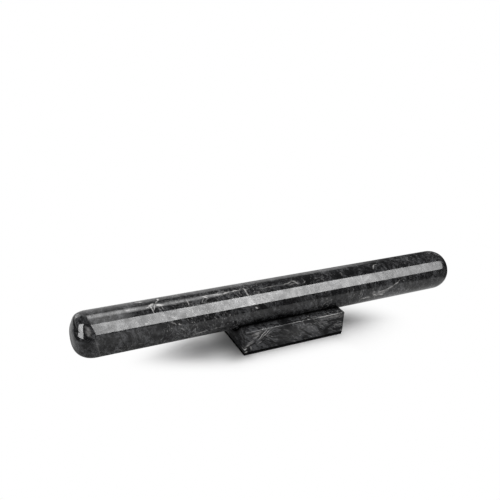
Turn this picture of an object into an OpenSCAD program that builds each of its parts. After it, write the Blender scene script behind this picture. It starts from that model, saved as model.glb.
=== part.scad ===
// Rolling pin turned from one marble rod, resting in the round cradle of a marble base block.
// X runs along the pin, Y across it and Z up. The origin is on the worktop, under the middle of the base.

/* [Pin] */
// Diameter of the rod
pin_d = 41; // [32:1:60]
// Length of the rod from tip to tip
pin_length = 400; // [280:5:500]
// Radius of the round between the barrel and the flat of each end
end_round = 15.5; // [4:0.5:15.5]

/* [Base block] */
// Length of the block along the pin
base_length = 107; // [70:1:160]
// Width of the block across the pin
base_width = 62; // [56:1:90]
// Height of the block itself, without its pad
base_height = 22.8; // [18:0.2:40]
// Bevel ground on every outer edge of the block
base_bevel = 0.8; // [0.4:0.1:2]

/* [Cradle] */
// How deep the rod sits below the top of the block
cradle_depth = 10.2; // [5:0.2:12]
// Gap between the rod and the wall of the cradle
cradle_gap = 0.3; // [0.2:0.05:1]
// Bevel along the edges of the cradle
cradle_bevel = 0.6; // [0.3:0.1:1.2]

/* [Pad] */
// Thickness of the anti-slip pad glued under the block
pad_thickness = 1.6; // [0.8:0.1:4]
// Distance from the sides of the block to the edge of the pad
pad_inset = 0.2; // [0:0.1:3]
// Radius of the corners of the pad
pad_corner = 1; // [0.5:0.5:6]

/* [Hidden] */
$fn = 96;
slack = 1; // how far a cutter runs past what it cuts
pin_r = pin_d / 2;
base_top = pad_thickness + base_height;
pin_z = base_top - cradle_depth + pin_r;
cradle_r = pin_r + cradle_gap;

// Half the width of the cradle, measured down from the top of the block
function cradle_half(down) = sqrt(pow(cradle_r, 2) - pow(pin_r - cradle_depth + down, 2));

// A rectangle of size x by y about the origin, its corners cut by bevel
module bevelled_rectangle(x, y, bevel) {
    polygon([
        [-x / 2 + bevel, -y / 2], [x / 2 - bevel, -y / 2],
        [x / 2, -y / 2 + bevel], [x / 2, y / 2 - bevel],
        [x / 2 - bevel, y / 2], [-x / 2 + bevel, y / 2],
        [-x / 2, y / 2 - bevel], [-x / 2, -y / 2 + bevel]
    ]);
}

// A block about the origin with all twelve edges bevelled
module bevelled_block(x, y, z, bevel) {
    intersection() {
        linear_extrude(z, center = true) bevelled_rectangle(x, y, bevel);
        rotate([90, 0, 0]) linear_extrude(y, center = true) bevelled_rectangle(x, z, bevel);
        rotate([90, 0, 90]) linear_extrude(x, center = true) bevelled_rectangle(y, z, bevel);
    }
}

// Half of the rod's section, from its axis outwards
module pin_profile() {
    round_centre = pin_length / 2 - end_round;
    square([pin_r - end_round, pin_length / 2]);
    square([pin_r, round_centre]);
    translate([pin_r - end_round, round_centre]) intersection() {
        circle(end_round);
        square(end_round);
    }
}

module rolling_pin() {
    color([0.13, 0.13, 0.14]) translate([0, 0, pin_z]) rotate([0, 90, 0]) rotate_extrude() {
        pin_profile();
        mirror([0, 1]) pin_profile();
    }
}

// The round trough that the rod lies in, flared where it leaves the block at each end
module cradle_cut() {
    flare = cradle_bevel + slack;
    translate([0, 0, pin_z]) {
        rotate([0, 90, 0]) cylinder(base_length + 2 * slack, r = cradle_r, center = true);
        for (side = [-1, 1])
            translate([side * (base_length / 2 - cradle_bevel), 0, 0]) rotate([0, side * 90, 0])
                cylinder(flare, r1 = cradle_r, r2 = cradle_r + flare);
    }
}

// Prisms that bevel the two long edges of the trough
module cradle_edge_cut() {
    wall_y = cradle_half(cradle_bevel);
    top_y = cradle_half(0) + cradle_bevel;
    for (side = [0, 1]) mirror([0, side, 0])
        rotate([90, 0, 90]) linear_extrude(base_length + 2 * slack, center = true) polygon([
            [wall_y, base_top - cradle_bevel], [top_y, base_top],
            [top_y, base_top + slack], [wall_y, base_top + slack]
        ]);
}

module base_block() {
    color([0.12, 0.12, 0.13]) difference() {
        translate([0, 0, pad_thickness + base_height / 2])
            bevelled_block(base_length, base_width, base_height, base_bevel);
        cradle_cut();
        cradle_edge_cut();
    }
}

// A rectangle of size x by y about the origin with round corners
module rounded_rectangle(x, y, corner) {
    square([x, y - 2 * corner], center = true);
    square([x - 2 * corner, y], center = true);
    for (side = [-1, 1], end = [-1, 1])
        translate([end * (x / 2 - corner), side * (y / 2 - corner)]) circle(corner);
}

module base_pad() {
    color([0.05, 0.05, 0.05]) linear_extrude(pad_thickness)
        rounded_rectangle(base_length - 2 * pad_inset, base_width - 2 * pad_inset, pad_corner);
}

rolling_pin();
base_block();
base_pad();
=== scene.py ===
"""A polished black marble rolling pin lying in the cradle of its marble base, dressed for a studio picture.

X runs along the pin, Y across it and Z up. Lengths are in metres.
"""

import math

import bmesh
import bpy
from bpy.props import FloatProperty, FloatVectorProperty, IntProperty, PointerProperty
from mathutils import Matrix, Vector


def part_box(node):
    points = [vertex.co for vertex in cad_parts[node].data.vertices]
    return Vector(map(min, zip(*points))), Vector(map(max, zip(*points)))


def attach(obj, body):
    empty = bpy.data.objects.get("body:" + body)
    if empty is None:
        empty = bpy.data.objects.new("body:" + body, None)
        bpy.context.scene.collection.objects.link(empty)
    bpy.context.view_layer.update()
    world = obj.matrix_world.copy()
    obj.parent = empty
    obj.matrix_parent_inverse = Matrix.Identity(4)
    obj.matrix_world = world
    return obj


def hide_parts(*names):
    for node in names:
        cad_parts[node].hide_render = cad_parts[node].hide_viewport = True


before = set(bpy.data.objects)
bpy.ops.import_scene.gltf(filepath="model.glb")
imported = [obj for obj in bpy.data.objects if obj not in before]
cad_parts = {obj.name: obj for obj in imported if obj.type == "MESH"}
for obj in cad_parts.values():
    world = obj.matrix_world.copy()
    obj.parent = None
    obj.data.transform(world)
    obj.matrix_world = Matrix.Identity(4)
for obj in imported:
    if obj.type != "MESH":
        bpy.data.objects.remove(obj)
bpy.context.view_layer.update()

bl_info = {
    "name": "Marble Rolling Pin",
    "version": (1, 0, 0),
    "blender": (4, 5, 0),
    "location": "3D View > Sidebar > Rolling Pin",
    "description": "Builds a marble rolling pin, the base it rests on and a small studio",
    "category": "Add Mesh",
}

MM = 0.001
PIN_LOW, PIN_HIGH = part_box("rolling_pin")
BASE_LOW, BASE_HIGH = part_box("base_block")
PAD_LOW, PAD_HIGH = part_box("base_pad")
PIN_RADIUS = (PIN_HIGH.z - PIN_LOW.z) / 2
PIN_AXIS = (PIN_HIGH.z + PIN_LOW.z) / 2


# Settings

class PinSettings(bpy.types.PropertyGroup):
    """Sizes of the turned marble rod."""

    length: FloatProperty(
        name="Length", description="Length of the pin from tip to tip",
        default=PIN_HIGH.x - PIN_LOW.x, min=0.2, max=0.6, unit="LENGTH")
    radius: FloatProperty(
        name="Radius", description="Radius of the barrel",
        default=PIN_RADIUS, min=0.01, max=0.04, unit="LENGTH")
    end_round: FloatProperty(
        name="End Round", description="Radius of the round between the barrel and each end",
        default=17.5 * MM, min=0.001, max=0.03, unit="LENGTH")
    crease: FloatProperty(
        name="Crease", description="Angle at which the ground round of each end meets the barrel",
        default=math.radians(5), min=0.0, max=math.radians(20), unit="ROTATION")
    lean: FloatProperty(
        name="Lean", description="How fast the start of the left round moves outwards near its top",
        default=0.45, min=0.0, max=1.0)
    fullness: FloatProperty(
        name="Fullness", description="How full the round is: 1 for an arc of a circle, and less for fuller",
        default=0.88, min=0.5, max=1.0)
    segments: IntProperty(
        name="Segments", description="Faces around the barrel",
        default=192, min=24, max=360)


class BaseSettings(bpy.types.PropertyGroup):
    """Sizes of the base block and its pad."""

    cradle_gap: FloatProperty(
        name="Cradle Gap", description="Gap between the pin and the wall of the cradle",
        default=0.3 * MM, min=0.0, max=0.002, unit="LENGTH")
    arris: FloatProperty(
        name="Arris", description="Width of the polished round on every edge of the block",
        default=0.8 * MM, min=0.0001, max=0.003, unit="LENGTH")
    pad_corner: FloatProperty(
        name="Pad Corner", description="Radius of the corners of the pad",
        default=1 * MM, min=0.0005, max=0.01, unit="LENGTH")
    pad_edge: FloatProperty(
        name="Pad Edge", description="Radius of the soft edge round the pad",
        default=0.3 * MM, min=0.0001, max=0.0007, unit="LENGTH")


class MarbleSettings(bpy.types.PropertyGroup):
    """Colours and polish of the black marble."""

    dark: FloatVectorProperty(
        name="Dark Stone", description="Colour of the darkest stone",
        default=(0.008, 0.008, 0.0085), size=3, subtype="COLOR", min=0.0, max=1.0)
    cloud: FloatVectorProperty(
        name="Cloud", description="Colour of the grey clouds in the stone",
        default=(0.085, 0.086, 0.09), size=3, subtype="COLOR", min=0.0, max=1.0)
    vein: FloatVectorProperty(
        name="Vein", description="Colour of the white calcite veins",
        default=(0.62, 0.61, 0.6), size=3, subtype="COLOR", min=0.0, max=1.0)
    roughness: FloatProperty(
        name="Roughness", description="Roughness of the polish",
        default=0.05, min=0.0, max=1.0, subtype="FACTOR")


class StageSettings(bpy.types.PropertyGroup):
    """Camera and light of the studio."""

    focal_length: FloatProperty(
        name="Focal Length", description="Focal length of the camera on a 36 mm sensor, in millimetres",
        default=43.98, min=10.0, max=200.0)
    camera_place: FloatVectorProperty(
        name="Camera Place", description="Where the camera stands",
        default=(-270.24 * MM, -447.15 * MM, 314.41 * MM), size=3, unit="LENGTH", subtype="TRANSLATION")
    camera_turn: FloatVectorProperty(
        name="Camera Turn", description="Yaw to the right, pitch downwards and roll of the camera",
        default=(0.4795, 0.4182, 0.0605), size=3, unit="ROTATION", subtype="EULER")
    card_glow: FloatProperty(
        name="Card Glow", description="Brightness of the long light card that the polish reflects",
        default=9.0, min=0.0, max=50.0)
    sky_glow: FloatProperty(
        name="Sky Glow", description="Brightness of the light that comes from all round",
        default=0.5, min=0.0, max=2.0)
    sun_glow: FloatProperty(
        name="Sun Glow", description="Share of the light on the floor that comes from the soft overhead lamp",
        default=0.5, min=0.0, max=2.0)


# Node helpers

def add_node(tree, kind, inputs=None, **settings):
    """Adds a node, sets its settings, and links or sets its inputs by name or number."""
    node = tree.nodes.new(kind)
    for name, value in settings.items():
        setattr(node, name, value)
    for key, value in (inputs or {}).items():
        if isinstance(value, bpy.types.NodeSocket):
            tree.links.new(value, node.inputs[key])
        else:
            node.inputs[key].default_value = value
    return node


def calculate(tree, operation, *values):
    """A Math node's result."""
    return add_node(tree, "ShaderNodeMath", dict(enumerate(values)), operation=operation).outputs[0]


def product(tree, *values):
    """All the values multiplied together."""
    result = values[0]
    for value in values[1:]:
        result = calculate(tree, "MULTIPLY", result, value)
    return result


def vector_math(tree, operation, *values):
    """A Vector Math node, whose first output is a vector and second a number."""
    return add_node(tree, "ShaderNodeVectorMath", dict(enumerate(values)), operation=operation).outputs


def ramp(tree, value, start, end, low=0.0, high=1.0):
    """Goes smoothly from low to high while value goes from start to end."""
    return add_node(
        tree, "ShaderNodeMapRange", {0: value, 1: start, 2: end, 3: low, 4: high},
        interpolation_type="SMOOTHSTEP").outputs[0]


def blend_colours(tree, factor, first, second):
    """The first colour where factor is 0 and the second where it is 1."""
    return add_node(
        tree, "ShaderNodeMix", {0: factor, 6: first, 7: second}, data_type="RGBA").outputs[2]


def noise(tree, place, scale, detail=4.0, roughness=0.5, distortion=0.0):
    """A Noise Texture, whose outputs are its value and its colour."""
    return add_node(tree, "ShaderNodeTexNoise", {
        "Vector": place, "Scale": scale, "Detail": detail,
        "Roughness": roughness, "Distortion": distortion}).outputs


def shifted(tree, place, scale, detail, reach):
    """The place pushed about by noise, by up to reach."""
    push = vector_math(tree, "SUBTRACT", noise(tree, place, scale, detail, 0.6)[1], (0.5, 0.5, 0.5))[0]
    return vector_math(tree, "ADD", place, vector_math(tree, "MULTIPLY", push, (2 * reach,) * 3)[0])[0]


def colour(value):
    """A colour with full opacity."""
    return (*value, 1.0)


def plain_grey(level):
    """A grey with full opacity, from 0 for black to 1 for white."""
    return (level, level, level, 1.0)


def new_material(name):
    """A material with its node tree, its shader and the object's own coordinates."""
    material = bpy.data.materials.new(name)
    material.use_nodes = True
    tree = material.node_tree
    place = add_node(tree, "ShaderNodeTexCoord").outputs["Object"]
    return material, tree, tree.nodes["Principled BSDF"], place


# Materials

def thin_lines(tree, place, scale, width, distortion):
    """Thin curling lines: 1 on each line and 0 beside it."""
    level = noise(tree, place, scale, 3.0, 0.55, distortion)[0]
    off_line = calculate(tree, "ABSOLUTE", calculate(tree, "SUBTRACT", level, 0.5))
    return ramp(tree, off_line, 0.0, width, 1.0, 0.0)


def grey_clouds(tree, place, bedded):
    """How grey the stone is: drifts of flow lines over a mottled ground, broken up by bars and grain."""
    drifts = ramp(tree, noise(tree, bedded, 42.0, 6.0, 0.62, 0.8)[0], 0.42, 0.66)
    flow = noise(tree, bedded, 60.0, 7.0, 0.62, 1.6)[0]
    lines = ramp(tree, calculate(tree, "SINE", calculate(tree, "MULTIPLY", flow, 34.0)), -0.4, 1.0, 0.12, 1.0)
    mottle = ramp(tree, noise(tree, bedded, 210.0, 5.0, 0.7, 0.4)[0], 0.42, 0.72)
    grain = ramp(tree, noise(tree, bedded, 620.0, 3.0, 0.75)[0], 0.3, 0.7, 0.0, 1.7)
    ground = calculate(tree, "MULTIPLY_ADD", mottle, 0.9, 0.03)
    drawn_out = vector_math(tree, "MULTIPLY", place, (1.0, 0.22, 0.22))[0]
    bars = ramp(tree, noise(tree, drawn_out, 105.0, 5.0, 0.6, 0.8)[0], 0.36, 0.64, 0.35, 1.35)
    grey = calculate(tree, "ADD", product(tree, drifts, lines, 1.15), ground)
    return product(tree, grey, grain, bars)


def ragged_veins(tree, place, veins, core=0.2):
    """How strong the given veins are here: thin ragged lenses, at full strength in their core."""
    ragged = shifted(tree, shifted(tree, place, 120.0, 3.0, 1.6 * MM), 600.0, 2.0, 0.6 * MM)
    found = 0.0
    for centre, turned, size, strength in veins:
        inside = add_node(tree, "ShaderNodeMapping", {
            "Vector": ragged, "Location": centre, "Rotation": turned, "Scale": size},
            vector_type="TEXTURE").outputs[0]
        from_middle = vector_math(tree, "LENGTH", inside)[1]
        found = calculate(tree, "MAXIMUM", found, ramp(tree, from_middle, core, 1.0, strength, 0.0))
    return found


def ground_line(tree, place, ground_at, broken):
    """How worn the stone is along the thin line that runs round the left end, ground_at from the middle."""
    x, _, z = add_node(tree, "ShaderNodeSeparateXYZ", {0: place}).outputs
    up = calculate(tree, "SUBTRACT", z, PIN_AXIS)
    off_line = calculate(tree, "ADD", x, calculate(tree, "MULTIPLY_ADD", up, 0.22, ground_at))
    worn = product(
        tree, ramp(tree, calculate(tree, "ABSOLUTE", off_line), 0.2 * MM, 0.7 * MM, 1.0, 0.0),
        ramp(tree, up, 5 * MM, 9 * MM, 1.0, 0.0))
    return product(tree, worn, broken)


def black_marble(name, marble, veins, seams, stretch, turn, polish, clouds=1.0, shine=0.5, ground_at=None):
    """Polished black marble with grey clouds, pale wisps, and the given bold veins and black seams.

    The clouds are drawn out by stretch along axes that turn tilts. polish carries the painted shade: it finds
    how much of a place shows the stone as it is, from 0 for painted black shade with no shine to 1.
    clouds is how strong the clouds are, and shine is how strongly the stone reflects. ground_at is how far
    from the middle a thin worn line runs round the left end.
    """
    material, tree, shader, place = new_material(name)
    folded = shifted(tree, shifted(tree, place, 26.0, 3.0, 5 * MM), 95.0, 3.0, 2.5 * MM)
    bedded = add_node(tree, "ShaderNodeMapping", {
        "Vector": folded, "Rotation": turn, "Scale": stretch}, vector_type="TEXTURE").outputs[0]
    grey = product(tree, grey_clouds(tree, folded, bedded), clouds)
    black = calculate(tree, "SUBTRACT", 1.0, ragged_veins(tree, place, seams, 0.5))
    grey = product(tree, grey, black)
    stone = blend_colours(tree, grey, colour(marble.dark), colour(marble.cloud))

    # Pale wisps and flecks come in patches, and the bold veins are broken up by the grain.
    patches = ramp(tree, noise(tree, place, 24.0, 3.0)[0], 0.42, 0.62)
    wisps = product(tree, thin_lines(tree, bedded, 46.0, 0.012, 1.5), patches, 0.3)
    fleck = add_node(tree, "ShaderNodeTexVoronoi", {"Vector": bedded, "Scale": 330.0}).outputs["Distance"]
    flecks = product(tree, ramp(tree, fleck, 0.1, 0.3, 0.4, 0.0), patches)
    pale = product(tree, calculate(tree, "MAXIMUM", wisps, flecks), black)
    pale = calculate(tree, "MAXIMUM", pale, ragged_veins(tree, place, veins))
    broken = ramp(tree, noise(tree, place, 430.0, 3.0, 0.65)[0], 0.34, 0.6, 0.4, 1.0)
    pale = product(tree, pale, broken)
    dull = ramp(tree, noise(tree, bedded, 260.0, 3.0, 0.7)[0], 0.5, 0.8, 0.0, 0.15)
    if ground_at is not None:
        worn = ground_line(tree, place, ground_at, broken)
        pale = calculate(tree, "MAXIMUM", pale, product(tree, worn, 0.12))
        dull = calculate(tree, "MAXIMUM", dull, product(tree, worn, 0.4))

    stone = blend_colours(tree, pale, stone, colour(marble.vein))
    # Painted shade: where polish is below 1 the stone is painted towards black, and further down its shine is
    # cut as well.
    polished = polish(tree, place)
    stone = blend_colours(tree, polished, plain_grey(0.002), stone)
    tree.links.new(stone, shader.inputs["Base Color"])
    tree.links.new(calculate(tree, "ADD", marble.roughness, dull), shader.inputs["Roughness"])

    # The shine varies from place to place about its mean, which is also the socket's own value.
    level = ramp(
        tree, noise(tree, bedded, 105.0, 4.0, 0.65)[0], 0.34, 0.66, 0.78 * shine, 1.22 * shine)
    shader.inputs["Specular IOR Level"].default_value = shine
    tree.links.new(product(tree, level, polished), shader.inputs["Specular IOR Level"])
    waves = noise(tree, place, 70.0, 4.0, 0.6)[0]
    bump = add_node(
        tree, "ShaderNodeBump", {"Strength": 0.3, "Distance": 0.06 * MM, "Height": waves}).outputs[0]
    tree.links.new(bump, shader.inputs["Normal"])
    shader.inputs["IOR"].default_value = 1.5
    return material


def pin_painted_dark_ring(tree, place):
    """Painted dark reflection on the pin: 1 for the stone as it is, falling to 0.25 in a ring round its right
    end, where the stone is painted darker and shines less.
    """
    x = add_node(tree, "ShaderNodeSeparateXYZ", {0: place}).outputs[0]
    ring = product(
        tree, ramp(tree, x, PIN_HIGH.x - 13.5 * MM, PIN_HIGH.x - 9.5 * MM),
        ramp(tree, x, PIN_HIGH.x - 5.5 * MM, PIN_HIGH.x - 2 * MM, 1.0, 0.0))
    return calculate(tree, "MULTIPLY_ADD", ring, -0.75, 1.0)


def block_painted_shade(tree, place):
    """Painted shade on the block: 1 where the stone is as it is, 0.6 on the wall of the cradle, 0 just beside
    the cradle, fading back further out, and 0 along the lower edge, where the stone is painted black and
    doesn't shine.
    """
    _, y, z = add_node(tree, "ShaderNodeSeparateXYZ", {0: place}).outputs
    section = add_node(tree, "ShaderNodeCombineXYZ", {0: y, 1: calculate(tree, "SUBTRACT", z, PIN_AXIS)})
    from_axis = vector_math(tree, "LENGTH", section.outputs[0])[1]
    cradle = ramp(tree, from_axis, PIN_RADIUS + 0.4 * MM, PIN_RADIUS + 0.6 * MM, 0.6, 0.0)
    beside = ramp(tree, from_axis, PIN_RADIUS + 1.5 * MM, PIN_RADIUS + 6.5 * MM)
    return product(
        tree, calculate(tree, "MAXIMUM", cradle, beside),
        ramp(tree, z, BASE_LOW.z + 1.1 * MM, BASE_LOW.z + 2 * MM))


def foam_rubber(name):
    """Matte black foam rubber with fine open pores."""
    material, tree, shader, place = new_material(name)
    dust = noise(tree, place, 300.0, 4.0)[0]
    pores = add_node(tree, "ShaderNodeTexVoronoi", {"Vector": place, "Scale": 1900.0}).outputs["Distance"]
    tree.links.new(
        blend_colours(tree, dust, plain_grey(0.0015), plain_grey(0.006)), shader.inputs["Base Color"])
    tree.links.new(ramp(tree, dust, 0.2, 0.8, 0.75, 0.9), shader.inputs["Roughness"])
    bump = add_node(
        tree, "ShaderNodeBump", {"Strength": 0.5, "Distance": 0.1 * MM, "Height": pores}).outputs[0]
    tree.links.new(bump, shader.inputs["Normal"])
    shader.inputs["Specular IOR Level"].default_value = 0.05
    return material


# Veins

def lens(first, last, outward, width, strength, depth=None):
    """A vein from first to last: its centre, its turn, its half sizes and its strength."""
    along = last - first
    half = along.length / 2
    along.normalize()
    across = outward.cross(along).normalized()
    turn = Matrix((along, across, along.cross(across))).transposed().to_euler()
    return (first + last) / 2, turn, (half * 1.2 + width, width, depth or half + 4 * MM), strength


def on_pin(x, degrees):
    """The point of the pin at x mm that faces degrees above the horizontal, and the way it faces."""
    angle = math.radians(degrees)
    outward = Vector((0.0, -math.cos(angle), math.sin(angle)))
    return Vector((x * MM, 0.0, PIN_AXIS)) + outward * PIN_RADIUS, outward


def pin_vein(start, end, width, strength):
    """A vein on the pin between two places, each its x in mm and its angle above the horizontal."""
    first, outward = on_pin(*start)
    last, other = on_pin(*end)
    return lens(first, last, outward + other, width * MM, strength)


def dome_vein(start, end, width, strength):
    """A vein on the left end of the pin between two places, each its x, y and height above the axis in mm."""
    first, last = (Vector((x * MM, y * MM, PIN_AXIS + z * MM)) for x, y, z in (start, end))
    middle = Vector((PIN_LOW.x + 20 * MM, 0.0, PIN_AXIS))
    return lens(first, last, (first + last) / 2 - middle, width * MM, strength)


def block_vein(start, end, width, strength, depth=8.0):
    """A vein on the front of the block between two places, each its x and its depth below the top in mm."""
    first, last = (Vector((x * MM, BASE_LOW.y, BASE_HIGH.z - down * MM)) for x, down in (start, end))
    return lens(first, last, Vector((0.0, -1.0, 0.0)), width * MM, strength, depth * MM)


# Meshes

def add_object(name, mesh):
    """Links a new object that holds the mesh."""
    made = bpy.data.objects.new(name, mesh)
    bpy.context.scene.collection.objects.link(made)
    return made


def turned_rod_tree():
    """The rule of the pin: a rod along X whose ends are rounded by rings that shrink along an arc."""
    tree = bpy.data.node_groups.new("Turned Rod", "GeometryNodeTree")
    sockets = tree.interface
    for name, kind in (
            ("Length", "NodeSocketFloat"), ("Radius", "NodeSocketFloat"), ("End Round", "NodeSocketFloat"),
            ("Crease", "NodeSocketFloat"), ("Lean", "NodeSocketFloat"), ("Fullness", "NodeSocketFloat"),
            ("Height", "NodeSocketFloat"),
            ("Round Steps", "NodeSocketInt"), ("Barrel Steps", "NodeSocketInt"),
            ("Segments", "NodeSocketInt"), ("Material", "NodeSocketMaterial")):
        sockets.new_socket(name, in_out="INPUT", socket_type=kind)
    sockets.new_socket("Mesh", in_out="OUTPUT", socket_type="NodeSocketGeometry")
    given = tree.nodes.new("NodeGroupInput").outputs
    half_length = calculate(tree, "MULTIPLY", given["Length"], 0.5)
    half_barrel = calculate(tree, "SUBTRACT", half_length, given["End Round"])
    core = calculate(tree, "SUBTRACT", given["Radius"], given["End Round"])
    half_rings = calculate(tree, "ADD", given["Barrel Steps"], given["Round Steps"])

    # Rings are counted outwards from the middle: first along the barrel, then up the round.
    index = tree.nodes.new("GeometryNodeInputIndex").outputs[0]
    signed = calculate(tree, "SUBTRACT", index, half_rings)
    ring = calculate(tree, "ABSOLUTE", signed)
    barrel_share = calculate(tree, "MINIMUM", calculate(tree, "DIVIDE", ring, given["Barrel Steps"]), 1.0)
    left_over = calculate(tree, "POWER", calculate(tree, "SUBTRACT", 1.0, barrel_share), 3.0)
    along_barrel = product(tree, calculate(tree, "SUBTRACT", 1.0, left_over), half_barrel)
    past_barrel = calculate(tree, "MAXIMUM", calculate(tree, "SUBTRACT", ring, given["Barrel Steps"]), 0.0)
    round_share = calculate(tree, "DIVIDE", past_barrel, given["Round Steps"])

    # The arc starts at the crease angle and is stretched to keep the ends and the barrel where they are.
    sweep = calculate(tree, "SUBTRACT", math.pi / 2, given["Crease"])
    angle = calculate(tree, "MULTIPLY_ADD", round_share, sweep, given["Crease"])
    first_sine = calculate(tree, "SINE", given["Crease"])
    climb = calculate(
        tree, "DIVIDE", calculate(tree, "SUBTRACT", calculate(tree, "SINE", angle), first_sine),
        calculate(tree, "SUBTRACT", 1.0, first_sine))
    shrink = calculate(
        tree, "DIVIDE", calculate(tree, "COSINE", angle), calculate(tree, "COSINE", given["Crease"]))
    climb = calculate(tree, "POWER", climb, given["Fullness"])
    shrink = calculate(tree, "POWER", calculate(tree, "MAXIMUM", shrink, 0.0), given["Fullness"])
    distance = calculate(tree, "MULTIPLY_ADD", climb, given["End Round"], along_barrel)
    ring_radius = calculate(tree, "MULTIPLY_ADD", shrink, given["End Round"], core)
    x = calculate(tree, "MULTIPLY", calculate(tree, "SIGN", signed), distance)

    count = calculate(tree, "MULTIPLY_ADD", half_rings, 2.0, 1.0)
    line = add_node(tree, "GeometryNodeMeshLine", {"Count": count, "Offset": (0.001, 0.0, 0.0)}).outputs[0]
    axis = add_node(tree, "GeometryNodeMeshToCurve", {"Mesh": line}).outputs[0]
    spot = add_node(tree, "ShaderNodeCombineXYZ", {0: x, 2: given["Height"]}).outputs[0]
    spaced = add_node(tree, "GeometryNodeSetPosition", {"Geometry": axis, "Position": spot}).outputs[0]
    circle = add_node(
        tree, "GeometryNodeCurvePrimitiveCircle", {"Resolution": given["Segments"], "Radius": 1.0}).outputs[0]
    skin = add_node(tree, "GeometryNodeCurveToMesh", {
        "Curve": spaced, "Profile Curve": circle, "Scale": ring_radius, "Fill Caps": True}).outputs[0]

    # The ring where the left round starts leans outwards at the top, and the rings beside it follow.
    point = tree.nodes.new("GeometryNodeInputPosition").outputs[0]
    point_x, _, point_z = add_node(tree, "ShaderNodeSeparateXYZ", {0: point}).outputs
    out = calculate(tree, "MULTIPLY", point_x, -1.0)
    up_round = add_node(tree, "ShaderNodeMapRange", {0: out, 1: half_barrel, 2: half_length}).outputs[0]
    share = product(
        tree, ramp(tree, out, calculate(tree, "MULTIPLY", half_barrel, 0.6), half_barrel),
        calculate(tree, "SUBTRACT", 1.0, calculate(tree, "POWER", up_round, 4.0)))
    middle = calculate(tree, "MULTIPLY_ADD", given["Radius"], 0.5, given["Height"])
    above = calculate(tree, "MAXIMUM", calculate(tree, "SUBTRACT", point_z, middle), 0.0)
    outwards = product(tree, share, above, given["Lean"], -1.0)
    slide = add_node(tree, "ShaderNodeCombineXYZ", {0: outwards}).outputs[0]
    leaning = add_node(tree, "GeometryNodeSetPosition", {"Geometry": skin, "Offset": slide}).outputs[0]
    smooth = add_node(tree, "GeometryNodeSetShadeSmooth", {"Geometry": leaning}).outputs[0]
    real = add_node(tree, "GeometryNodeRealizeInstances", {"Geometry": smooth}).outputs[0]
    dressed = add_node(
        tree, "GeometryNodeSetMaterial", {"Geometry": real, "Material": given["Material"]}).outputs[0]
    tree.links.new(dressed, tree.nodes.new("NodeGroupOutput").inputs["Mesh"])
    return tree


def grow(name, tree, inputs):
    """Evaluates a geometry node tree once and keeps its result as a plain mesh object."""
    made = add_object(name, bpy.data.meshes.new(name + "_seed"))
    modifier = made.modifiers.new("Grow", "NODES")
    modifier.node_group = tree
    identifiers = {item.name: item.identifier for item in tree.interface.items_tree if item.in_out == "INPUT"}
    for key, value in inputs.items():
        modifier[identifiers[key]] = value
    bpy.context.view_layer.update()
    graph = bpy.context.evaluated_depsgraph_get()
    mesh = bpy.data.meshes.new_from_object(made.evaluated_get(graph), depsgraph=graph)
    mesh.name = name
    made.modifiers.clear()
    made.data = mesh
    if not mesh.polygons or not mesh.materials:
        raise RuntimeError(f"{name} came out empty or bare")
    turn_outwards(mesh)
    return made


def turn_outwards(mesh):
    """Turns every face of a closed mesh to point outwards."""
    work = bmesh.new()
    work.from_mesh(mesh)
    bmesh.ops.recalc_face_normals(work, faces=work.faces)
    work.to_mesh(mesh)
    work.free()


def add_prism(name, section, start, end, to_point):
    """A closed prism on a section of 2-D points, from start to end along its third direction."""
    work = bmesh.new()
    ends = [[work.verts.new(to_point(a, b, level)) for a, b in section] for level in (start, end)]
    count = len(section)
    work.faces.new(ends[0])
    work.faces.new(ends[1])
    for here in range(count):
        after = (here + 1) % count
        work.faces.new((ends[0][here], ends[0][after], ends[1][after], ends[1][here]))
    bmesh.ops.recalc_face_normals(work, faces=work.faces)
    mesh = bpy.data.meshes.new(name)
    work.to_mesh(mesh)
    work.free()
    mesh.shade_smooth()
    return add_object(name, mesh)


def round_edges(made, radius, segments):
    """Rounds every edge that turns more than 30 degrees."""
    bevel = made.modifiers.new("Round", "BEVEL")
    bevel.width = radius
    bevel.segments = segments
    bevel.limit_method = "ANGLE"
    bevel.angle_limit = math.radians(30)
    bevel.harden_normals = True


def dress(made, material, node, body):
    """Gives the finished piece its material and its body, and hides the CAD node it stands for."""
    if not made.data.materials:
        made.data.materials.append(material)
    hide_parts(node)
    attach(made, body)


# Operators

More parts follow.
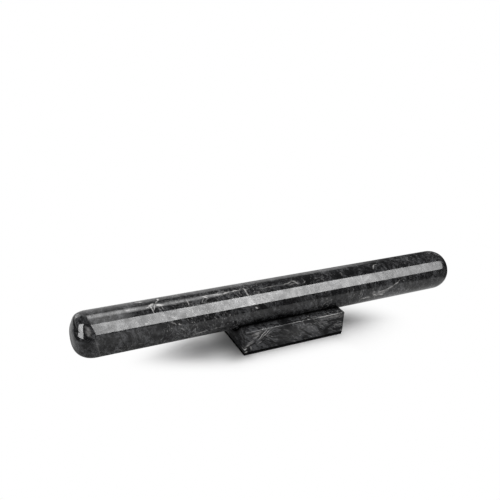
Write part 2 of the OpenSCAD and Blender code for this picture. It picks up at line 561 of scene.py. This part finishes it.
class KITCHEN_OT_rolling_pin(bpy.types.Operator):
    """Turn the marble rod"""

    bl_idname = "kitchen.rolling_pin"
    bl_label = "Rolling Pin"

    def execute(self, context):
        pin, marble = context.scene.pin_settings, context.scene.marble_settings
        # Each vein runs from a place to a place, and has a width in mm and a strength. The pin has 68 veins
        # and seams in all. At 74 the material is more than the renderer can hold, and the pin turns black.
        veins = [pin_vein(*row) for row in (
            # Knots and threads above the highlight
            ((-142.7, 101), (-138.5, 97), 1.7, 1.0),
            ((-133.5, 77), (-132, 51), 0.9, 1.0),
            ((-134, 75), (-130, 78), 1.5, 1.0),
            ((-129, 76), (-131.5, 60), 0.6, 0.8),
            ((-128.5, 75), (-121.5, 70), 1.4, 1.0),
            ((-128, 78), (-125, 89), 0.7, 0.8),
            ((-124.5, 91), (-123.5, 98), 1.1, 1.0),
            ((-124, 70), (-123, 57), 0.6, 0.6),
            ((-127, 66), (-126, 56), 0.5, 0.5),
            ((-137, 70), (-134.5, 72), 0.8, 0.6),
            ((-155, 72.5), (-151.5, 73.5), 1.2, 0.6),
            ((-149, 73), (-146.5, 73), 0.8, 0.4),
            ((-119, 84), (-114, 80), 0.6, 0.4),
            ((-100.7, 74), (-100, 54), 0.7, 0.8),
            ((-107, 71), (-103, 72), 0.7, 0.3),
            ((-86, 76), (-81, 68), 1.3, 0.9),
            ((-83, 78), (-79, 73), 0.7, 0.7),
            ((-84, 61), (-80, 67), 0.6, 0.6),
            ((-85, 68), (-88, 55), 0.7, 0.6),
            ((-80, 74.5), (-66, 71), 0.7, 0.8),
            ((-66, 71), (-59, 75), 0.9, 0.9),
            ((-59, 75), (-47, 74), 0.7, 0.8),
            ((-45, 79), (-43, 68), 0.8, 0.8),
            ((-44, 72), (-42.5, 50), 1.1, 1.0),
            ((-43, 50), (-40, 28), 1.3, 0.5),
            ((-33, 68), (-5, 65), 0.6, 0.4),
            ((-5, 65), (5.5, 73), 1.0, 0.5),
            ((5.5, 74), (11, 60), 1.4, 0.6),
            ((0, 64), (8, 64), 1.2, 0.3),
            ((-59, 58), (-58, 50), 0.6, 0.7),
            ((17.5, 61), (19, 63), 1.0, 0.4),
            ((62, 74), (61, 62), 0.8, 0.4),
            ((99, 66), (103.5, 82), 0.7, 0.9),
            ((103, 81), (107, 81), 0.7, 0.6),
            # In the highlight and below it
            ((-37.6, 19), (-36.4, 16), 1.3, 1.0),
            ((-119, 23), (-114.5, 14), 0.7, 0.7),
            ((-112.5, 15), (-110.5, 13), 1.0, 0.8),
            ((-111.5, 5), (-106, -5), 0.6, 0.45),
            ((-99, -26), (-84, -20), 0.8, 0.5),
            ((-86, -20), (-66, -19), 0.6, 0.3),
            ((-101, -32), (-84, -27), 0.6, 0.25),
            ((-142, 31), (-138.5, 33), 0.9, 0.5),
            ((-121, 44), (-114, 27), 0.8, 0.4),
            ((-127, 45), (-121, 38), 0.7, 0.4),
            ((-168, -14), (-158, -44), 0.7, 0.12),
            # The long stroke low on the right, and the knots at its foot
            ((126, 17), (118, 4), 1.0, 0.8),
            ((118, 4), (109, -4), 1.2, 0.8),
            ((109, -3), (99, -9), 1.1, 0.75),
            ((112, -6), (98, -18), 3.2, 0.38),
            ((99, -15), (95, -11), 1.4, 0.9),
            ((108, -20), (102, -16), 1.4, 0.8),
            ((110, -13), (106, -11), 1.1, 0.6),
            ((104, -8), (100, -3), 0.9, 0.5),
            ((97, -10), (92, -7), 0.9, 0.45),
            ((92, -19), (80, -20), 1.4, 0.7),
            ((97, -4), (93, -3), 1.2, 0.4),
        )]
        # The dome of the left end has a cloudy patch towards the front and a streak near its top.
        veins += [dome_vein(*row) for row in (
            ((-189.3, -13.2, 14.5), (-187, -16.6, 11.1), 2.1, 0.38),
            ((-190.3, -14.6, 12), (-187.5, -18, 8.5), 1.8, 0.34),
            ((-193.8, 1, 17.3), (-193.4, -1.4, 17.7), 0.9, 0.5),
        )]
        # Seams of blacker stone on the dome, and between the veins above the highlight
        seams = [dome_vein(*row) for row in (
            ((-196.3, -4, 14.3), (-196.1, -14, 4.3), 3.5, 0.85),
            ((-190.5, -11.5, 15.3), (-193, -16.5, 6.8), 1.6, 0.8),
            ((-195, -16, 2.3), (-186, -20, 2.3), 3.5, 0.3),
        )]
        seams += [pin_vein(*row) for row in (
            ((-33, 20), (-27, 10), 3.5, 0.9),
            ((22, 64), (23, 76), 4.0, 0.7),
            ((34, 66), (36, 84), 3.0, 0.7),
            ((55, 58), (57, 70), 4.0, 0.7),
            ((72, 60), (76, 80), 4.0, 0.7),
            ((118, 60), (120, 76), 5.0, 0.6),
        )]
        made = grow("marble_pin", turned_rod_tree(), {
            "Length": pin.length, "Radius": pin.radius, "End Round": pin.end_round,
            "Crease": pin.crease, "Lean": pin.lean, "Fullness": pin.fullness, "Height": PIN_AXIS,
            "Round Steps": 32, "Barrel Steps": 36, "Segments": pin.segments, "Material": black_marble(
                "pin_marble", marble, veins, seams, stretch=(0.8, 1.1, 1.4), turn=(0.0, -0.4, 0.0),
                polish=pin_painted_dark_ring, ground_at=pin.length / 2 - pin.end_round)})
        dress(made, None, "rolling_pin", "pin")
        return {"FINISHED"}


class KITCHEN_OT_base_block(bpy.types.Operator):
    """Cut the marble block with its cradle"""

    bl_idname = "kitchen.base_block"
    bl_label = "Base Block"

    def execute(self, context):
        base, marble = context.scene.base_settings, context.scene.marble_settings
        steps = 72
        radius = PIN_RADIUS + base.cradle_gap
        mouth = math.acos((PIN_AXIS - BASE_HIGH.z) / radius)
        section = [(BASE_LOW.y, BASE_HIGH.z), (BASE_LOW.y, BASE_LOW.z),
                   (BASE_HIGH.y, BASE_LOW.z), (BASE_HIGH.y, BASE_HIGH.z)]
        for step in range(steps + 1):
            angle = mouth * (1 - 2 * step / steps)
            section.append((radius * math.sin(angle), PIN_AXIS - radius * math.cos(angle)))
        made = add_prism(
            "marble_base", section, BASE_LOW.x, BASE_HIGH.x, lambda y, z, x: (x, y, z))
        round_edges(made, base.arris, 3)
        # Each vein runs from a place to a place, and has a width in mm, a strength and perhaps a depth in mm.
        veins = [block_vein(*row) for row in (
            # The bundle that runs down to the lower left corner
            ((-30, 0.4), (-41, 11), 0.7, 0.9),
            ((-27, 1), (-37, 9.4), 0.6, 0.8),
            ((-24, 2), (-33, 9.5), 0.5, 0.35),
            ((-53, 15.2), (-45, 11.6), 1.5, 0.45),
            ((-51, 12.5), (-44, 9.5), 1.2, 0.3),
            ((-46, 4), (-37, 2.2), 2.1, 0.42),
            ((-45, 7.4), (-40, 5.2), 1.5, 0.4),
            ((-53.5, 18), (-51.5, 17), 1.1, 0.9),
            ((-48, 15.6), (-46.5, 18.8), 1.0, 0.5),
            ((-40, 14.4), (-36, 12.4), 0.9, 0.25),
            ((-53, 21.6), (-51, 21), 1.1, 1.0),
            # Fainter ones to the right of it
            ((-14, 4.4), (-4, 10.4), 1.2, 0.12),
            ((0, 3.4), (12, 10.4), 1.2, 0.12),
            ((14, 5.4), (24, 15.4), 1.2, 0.14),
            ((-6, 15.4), (8, 20.4), 1.0, 0.1),
            ((30, 2.4), (54, 2.9), 2.0, 0.25),
            ((42, 11.4), (54, 13.4), 0.9, 0.35),
            ((24, 4.4), (34, 7.4), 0.9, 0.2),
            # The painted highlight along the top edge, and a soft cloud
            ((-52, -0.3), (-16, 0.1), 0.5, 0.8, 1.2),
            ((-12, 0.1), (24, 0.1), 0.5, 0.55, 1.2),
            ((20, 0.1), (51, 0.1), 0.6, 0.85, 1.2),
            ((-16, 13), (20, 9), 10.0, 0.065),
        )]
        seams = [block_vein(*row) for row in (
            ((34, 6.9), (54, 6.4), 1.6, 1.0),
            ((30, 16.4), (44, 9.4), 2.0, 0.9),
            ((41, 16.9), (54, 17.4), 1.8, 0.9),
            ((-49, 15.2), (-42, 11.4), 1.5, 0.9),
            ((-51, 19.6), (-47, 18), 1.3, 0.8),
            ((-38, 15), (-32, 10.5), 1.2, 0.8),
            ((2.6, 7.4), (18.8, 18.4), 1.1, 1.0),
            ((-20, 11.4), (-8, 15.4), 1.2, 0.8),
            ((-26, 4.4), (-18, 9.4), 1.0, 0.7),
            ((22, 9.4), (32, 17.4), 1.0, 0.7),
        )]
        material = black_marble(
            "base_marble", marble, veins, seams, stretch=(2.8, 1.2, 0.5), turn=(0.0, math.radians(32), 0.0),
            polish=block_painted_shade, clouds=1.5, shine=0.25)
        dress(made, material, "base_block", "base")
        return {"FINISHED"}


class KITCHEN_OT_anti_slip_pad(bpy.types.Operator):
    """Glue the foam rubber pad under the block"""

    bl_idname = "kitchen.anti_slip_pad"
    bl_label = "Anti-Slip Pad"

    def execute(self, context):
        base = context.scene.base_settings
        steps = 8
        centre = (PAD_LOW + PAD_HIGH) / 2
        half_x = (PAD_HIGH.x - PAD_LOW.x) / 2 - base.pad_corner
        half_y = (PAD_HIGH.y - PAD_LOW.y) / 2 - base.pad_corner
        outline = []
        for quarter, (side_x, side_y) in enumerate(((1, 1), (-1, 1), (-1, -1), (1, -1))):
            for step in range(steps + 1):
                angle = math.radians(90) * (quarter + step / steps)
                outline.append((
                    centre.x + side_x * half_x + base.pad_corner * math.cos(angle),
                    centre.y + side_y * half_y + base.pad_corner * math.sin(angle)))
        made = add_prism(
            "anti_slip_pad", outline, PAD_LOW.z, PAD_HIGH.z, lambda x, y, z: (x, y, z))
        round_edges(made, base.pad_edge, 3)
        dress(made, foam_rubber("pad_rubber"), "base_pad", "base")
        return {"FINISHED"}


# Studio

def around_pin(x, degrees, distance):
    """A place at x and at a distance from the pin's axis, degrees above the horizontal at the front."""
    angle = math.radians(degrees)
    return Vector((x, -distance * math.cos(angle), PIN_AXIS + distance * math.sin(angle)))


def add_light_card(name, corners, stops, soft=0.0):
    """A card that only polished surfaces see.

    stops are places along its first edge, from 0 to 1, with the brightness there. soft is the share of its
    height over which each long edge fades out.
    """
    mesh = bpy.data.meshes.new(name)
    mesh.from_pydata(corners, [], [(0, 1, 2, 3)])
    layer = mesh.uv_layers.new(name="card")
    for loop, place in zip(layer.data, ((0, 0), (1, 0), (1, 1), (0, 1))):
        loop.uv = place
    material = bpy.data.materials.new(name)
    material.use_nodes = True
    tree = material.node_tree
    tree.nodes.clear()
    uv = add_node(tree, "ShaderNodeTexCoord").outputs["UV"]
    along, up = add_node(tree, "ShaderNodeSeparateXYZ", {0: uv}).outputs[:2]
    most = max(glow for place, glow in stops)
    profile = add_node(tree, "ShaderNodeValToRGB", {0: along})
    elements = profile.color_ramp.elements
    while len(elements) < len(stops):
        elements.new(0.5)
    for element, (place, glow) in zip(elements, stops):
        element.position = place
        element.color = plain_grey(glow / most)
    strength = product(tree, profile.outputs[0], most)
    if soft:
        from_edge = calculate(tree, "MINIMUM", up, calculate(tree, "SUBTRACT", 1.0, up))
        strength = product(tree, strength, ramp(tree, from_edge, 0.0, soft))
    shine = add_node(tree, "ShaderNodeEmission", {"Strength": strength}).outputs[0]
    add_node(tree, "ShaderNodeOutputMaterial", {"Surface": shine})
    mesh.materials.append(material)
    card = add_object(name, mesh)
    card.visible_camera = False
    card.visible_diffuse = False
    card.visible_shadow = False


def floor_colour(tree, x, y):
    """The floor's white, with a painted shadow that makes it dimmer close to the left side of the base."""
    painted_shadow_beside_base = product(
        tree, ramp(tree, x, -82 * MM, -55 * MM), ramp(tree, x, -52 * MM, -40 * MM, 1.0, 0.0),
        ramp(tree, y, -44 * MM, -31 * MM))
    return blend_colours(tree, painted_shadow_beside_base, plain_grey(0.97), plain_grey(0.6))


def floor_in_polish(tree, x, y):
    """The floor's grey as polished stone reflects it, with painted shade that makes it darker under the pin
    than beside it.
    """
    aside = ramp(tree, calculate(tree, "ABSOLUTE", y), 35 * MM, 85 * MM)
    away = product(tree, aside, ramp(tree, x, -200 * MM, -175 * MM))
    left_end = product(tree, ramp(tree, x, -205 * MM, -230 * MM), ramp(tree, y, -42 * MM, -28 * MM))
    away = calculate(tree, "MAXIMUM", away, left_end)
    under_left = product(
        tree, ramp(tree, x, -55 * MM, -100 * MM), ramp(tree, x, -200 * MM, -175 * MM), 0.4)
    away = calculate(tree, "MAXIMUM", away, under_left)
    return blend_colours(tree, away, plain_grey(0.28), plain_grey(0.7))


def floor_shadow(tree, x, y):
    """How much of the base's shadow is kept: 1 near the base, fading out beside it and before it."""
    beside = calculate(tree, "ABSOLUTE", calculate(tree, "ADD", x, 9.5 * MM))
    outside = calculate(tree, "MAXIMUM", calculate(tree, "SUBTRACT", beside, 55 * MM), 0.0)
    middle = calculate(tree, "MULTIPLY_ADD", calculate(tree, "MAXIMUM", x, 40 * MM), 0.2, -1 * MM)
    behind = calculate(tree, "ADD", y, middle)
    front_shift = ramp(tree, x, 30 * MM, 60 * MM, 4 * MM, -1 * MM)
    before = calculate(tree, "MAXIMUM", behind, calculate(tree, "SUBTRACT", front_shift, behind))
    before = calculate(tree, "MULTIPLY_ADD", outside, 0.4, before)

    # To the right of the base the shadow begins to fade sooner and fades more slowly.
    right = ramp(tree, x, 45 * MM, 60 * MM)
    sideways_from = calculate(tree, "MULTIPLY_ADD", right, 6 * MM, 70 * MM)
    forwards_from = calculate(tree, "MULTIPLY_ADD", right, -14 * MM, 23 * MM)
    forwards_to = calculate(tree, "MULTIPLY_ADD", right, 14 * MM, 54 * MM)
    return product(
        tree, ramp(tree, beside, sideways_from, 151 * MM, 1.0, 0.0),
        ramp(tree, before, forwards_from, forwards_to, 1.0, 0.0))


def walls_in_polish(tree, x, y, z):
    """How bright the pale walls are that polished stone reflects in a direction."""
    # The turn about the pin goes from 0 at the front horizon over the top to 180 degrees at the back.
    turn = calculate(
        tree, "DEGREES", calculate(tree, "ARCTAN2", z, calculate(tree, "MULTIPLY", y, -1.0)))
    back = product(
        tree, ramp(tree, turn, 143.0, 155.0, 0.0, 0.75), ramp(tree, x, 0.53, 0.62, 1.0, 0.0))
    left_back = product(
        tree, ramp(tree, x, 0.3, 0.18), ramp(tree, x, -0.15, 0.0),
        ramp(tree, turn, 108.0, 125.0, 0.0, 0.75))
    front = product(
        tree, ramp(tree, x, 0.34, 0.24), ramp(tree, x, 0.0, 0.12), ramp(tree, turn, -60.0, -40.0),
        ramp(tree, turn, 12.0, 18.0, 0.7, 0.0))
    left = product(
        tree, ramp(tree, x, 0.0, -0.15), ramp(tree, y, 0.66, 0.78), ramp(tree, z, 0.08, 0.2, 0.0, 1.9))
    brightness = 0.05
    for wall in (back, left_back, front, left):
        brightness = calculate(tree, "MAXIMUM", brightness, wall)
    return brightness


class KITCHEN_OT_studio(bpy.types.Operator):
    """Set up the floor, the light and the camera"""

    bl_idname = "kitchen.studio"
    bl_label = "Studio"

    def execute(self, context):
        settings = context.scene.stage_settings
        self.add_camera(context.scene, settings)
        self.add_floor()
        self.add_lights(settings)
        self.add_world(context.scene, settings)
        context.scene.view_settings.view_transform = "Standard"
        return {"FINISHED"}

    def add_camera(self, scene, settings):
        data = bpy.data.cameras.new("camera")
        data.sensor_width = 36.0
        data.lens = settings.focal_length
        data.clip_start, data.clip_end = 0.01, 50.0
        camera = bpy.data.objects.new("camera", data)
        scene.collection.objects.link(camera)
        yaw, pitch, roll = settings.camera_turn
        forward = Vector((
            math.sin(yaw) * math.cos(pitch), math.cos(yaw) * math.cos(pitch), -math.sin(pitch)))
        right = Vector((math.cos(yaw), -math.sin(yaw), 0.0))
        level = Matrix((right, right.cross(forward), -forward)).transposed()
        camera.rotation_mode = "QUATERNION"
        camera.rotation_quaternion = (level @ Matrix.Rotation(roll, 3, "Z")).to_quaternion()
        camera.location = settings.camera_place
        scene.camera = camera

    def add_floor(self):
        """A white table top that keeps the shadow near the base and clears to plain white around it."""
        mesh = bpy.data.meshes.new("floor")
        left, right, near, far = -0.33, 1.6, -0.19, 2.0
        mesh.from_pydata(
            [(left, near, 0), (right, near, 0), (right, far, 0), (left, far, 0)], [], [(0, 1, 2, 3)])
        floor = add_object("floor", mesh)
        material, tree, shader, place = new_material("floor_white")
        shader.inputs["Roughness"].default_value = 1.0
        shader.inputs["Specular IOR Level"].default_value = 0.0
        ray = tree.nodes.new("ShaderNodeLightPath").outputs
        polished = ray["Is Glossy Ray"]
        x, y = add_node(tree, "ShaderNodeSeparateXYZ", {0: place}).outputs[:2]
        shown = blend_colours(tree, polished, floor_colour(tree, x, y), floor_in_polish(tree, x, y))
        tree.links.new(shown, shader.inputs["Base Color"])

        # Away from the base the floor is plain white to the camera, and plain grey to polished stone.
        clear = calculate(tree, "SUBTRACT", 1.0, floor_shadow(tree, x, y))
        seen = calculate(tree, "MAXIMUM", ray["Is Camera Ray"], ray["Is Transmission Ray"])
        clear = product(tree, seen, clear)
        # Painted reflection: polished stone sees the floor right of the base glow grey, and the glow is
        # painted dimmer far to the right and in front, to darken the reflection round the pin's right end.
        clear_to_polish = product(tree, polished, ramp(tree, x, 55 * MM, 130 * MM, 0.0, 0.9))
        distant = product(tree, ramp(tree, x, 200 * MM, 260 * MM), ramp(tree, y, -85 * MM, -120 * MM))
        distant = calculate(tree, "MAXIMUM", distant, ramp(tree, x, 235 * MM, 265 * MM, 0.0, 1.05))
        glow = add_node(tree, "ShaderNodeMix", {
            0: polished, 2: 1.0, 3: calculate(tree, "MULTIPLY_ADD", distant, -0.5, 0.6)}).outputs[0]
        plain = add_node(tree, "ShaderNodeEmission", {"Strength": glow}).outputs[0]
        mixed = add_node(tree, "ShaderNodeMixShader", {
            0: calculate(tree, "ADD", clear, clear_to_polish), 1: shader.outputs[0], 2: plain}).outputs[0]
        tree.links.new(mixed, tree.nodes["Material Output"].inputs["Surface"])
        mesh.materials.append(material)

    def add_lights(self, settings):
        """Cards for the long highlight, the fainter bands behind it and the bright patch on the left end."""
        glow = settings.card_glow
        far = 0.766
        add_light_card("long_card", (
            around_pin(-0.12, 20.5, far), around_pin(1.25, 21.9, far),
            around_pin(1.25, 71.8, far), around_pin(-0.12, 71.8, far)), (
            (0.0, 0.82 * glow), (0.21, 0.95 * glow), (0.29, 1.4 * glow), (0.337, 1.08 * glow),
            (0.49, 1.05 * glow), (0.547, 0.79 * glow), (0.63, 0.66 * glow), (0.7, 0.7 * glow),
            (1.0, 0.4 * glow)))
        near = 0.607
        add_light_card("back_card", (
            around_pin(-0.095, 93, far), around_pin(0.26, 99, far),
            around_pin(0.26, 128, far), around_pin(-0.095, 137, far)), (
            (0.0, 0.68 * glow), (0.3, 0.68 * glow), (0.42, 0.45 * glow), (0.88, 0.45 * glow),
            (1.0, 0.0)), 0.5)
        add_light_card("side_card", (
            around_pin(-0.095, 71, near), around_pin(-0.012, 71, near),
            around_pin(-0.012, 99, near), around_pin(-0.095, 99, near)), (
            (0.0, 0.22 * glow), (0.85, 0.22 * glow), (1.0, 0.0)))
        add_light_card("left_card", (
            Vector((-0.816, -0.023, 0.04)), Vector((-0.697, -0.377, 0.066)),
            Vector((-0.407, -0.128, 0.621)), Vector((-0.676, 0.006, 0.437))),
            ((0.0, 0.84 * glow), (1.0, 1.1 * glow)))
        lamp = bpy.data.lights.new("overhead", "SUN")
        lamp.energy = math.pi * settings.sun_glow
        lamp.angle = math.radians(60)
        made = bpy.data.objects.new("overhead", lamp)
        bpy.context.scene.collection.objects.link(made)
        made.rotation_euler = (math.radians(-13), math.radians(10), 0.0)
        made.visible_glossy = False

    def add_world(self, scene, settings):
        """White to the camera, even for matte surfaces, and dark with pale walls for polished ones."""
        world = bpy.data.worlds.new("studio")
        scene.world = world
        world.use_nodes = True
        tree = world.node_tree
        background = tree.nodes["Background"]
        ray = tree.nodes.new("ShaderNodeLightPath").outputs
        direction = add_node(tree, "ShaderNodeTexCoord").outputs["Generated"]
        x, y, z = add_node(tree, "ShaderNodeSeparateXYZ", {0: direction}).outputs
        walls = walls_in_polish(tree, x, y, z)
        shiny = calculate(tree, "MAXIMUM", ray["Is Glossy Ray"], ray["Is Transmission Ray"])
        lit = add_node(tree, "ShaderNodeMix", {0: shiny, 2: settings.sky_glow, 3: walls}).outputs[0]
        glow = add_node(tree, "ShaderNodeMix", {0: ray["Is Camera Ray"], 2: lit, 3: 1.0}).outputs[0]
        background.inputs["Color"].default_value = plain_grey(1.0)
        tree.links.new(glow, background.inputs["Strength"])


class KITCHEN_PT_rolling_pin(bpy.types.Panel):
    """Lists the pieces and their sizes."""

    bl_idname = "KITCHEN_PT_rolling_pin"
    bl_label = "Rolling Pin"
    bl_space_type = "VIEW_3D"
    bl_region_type = "UI"
    bl_category = "Rolling Pin"

    def draw(self, context):
        scene = context.scene
        for settings, operators in (
                (scene.pin_settings, ("kitchen.rolling_pin",)),
                (scene.base_settings, ("kitchen.base_block", "kitchen.anti_slip_pad")),
                (scene.marble_settings, ()),
                (scene.stage_settings, ("kitchen.studio",))):
            box = self.layout.box()
            for name in settings.bl_rna.properties.keys():
                if name not in {"rna_type", "name"}:
                    box.prop(settings, name)
            for operator in operators:
                box.operator(operator)


CLASSES = (
    PinSettings, BaseSettings, MarbleSettings, StageSettings,
    KITCHEN_OT_rolling_pin, KITCHEN_OT_base_block, KITCHEN_OT_anti_slip_pad, KITCHEN_OT_studio,
    KITCHEN_PT_rolling_pin,
)
SETTINGS = {
    "pin_settings": PinSettings, "base_settings": BaseSettings,
    "marble_settings": MarbleSettings, "stage_settings": StageSettings,
}


def register():
    for item in CLASSES:
        bpy.utils.register_class(item)
    for name, group in SETTINGS.items():
        setattr(bpy.types.Scene, name, PointerProperty(type=group))


def unregister():
    for name in SETTINGS:
        delattr(bpy.types.Scene, name)
    for item in reversed(CLASSES):
        bpy.utils.unregister_class(item)


def build():
    """Makes every piece and the studio."""
    register()
    bpy.ops.kitchen.studio()
    bpy.ops.kitchen.rolling_pin()
    bpy.ops.kitchen.base_block()
    bpy.ops.kitchen.anti_slip_pad()


if __name__ == "__main__":
    build()
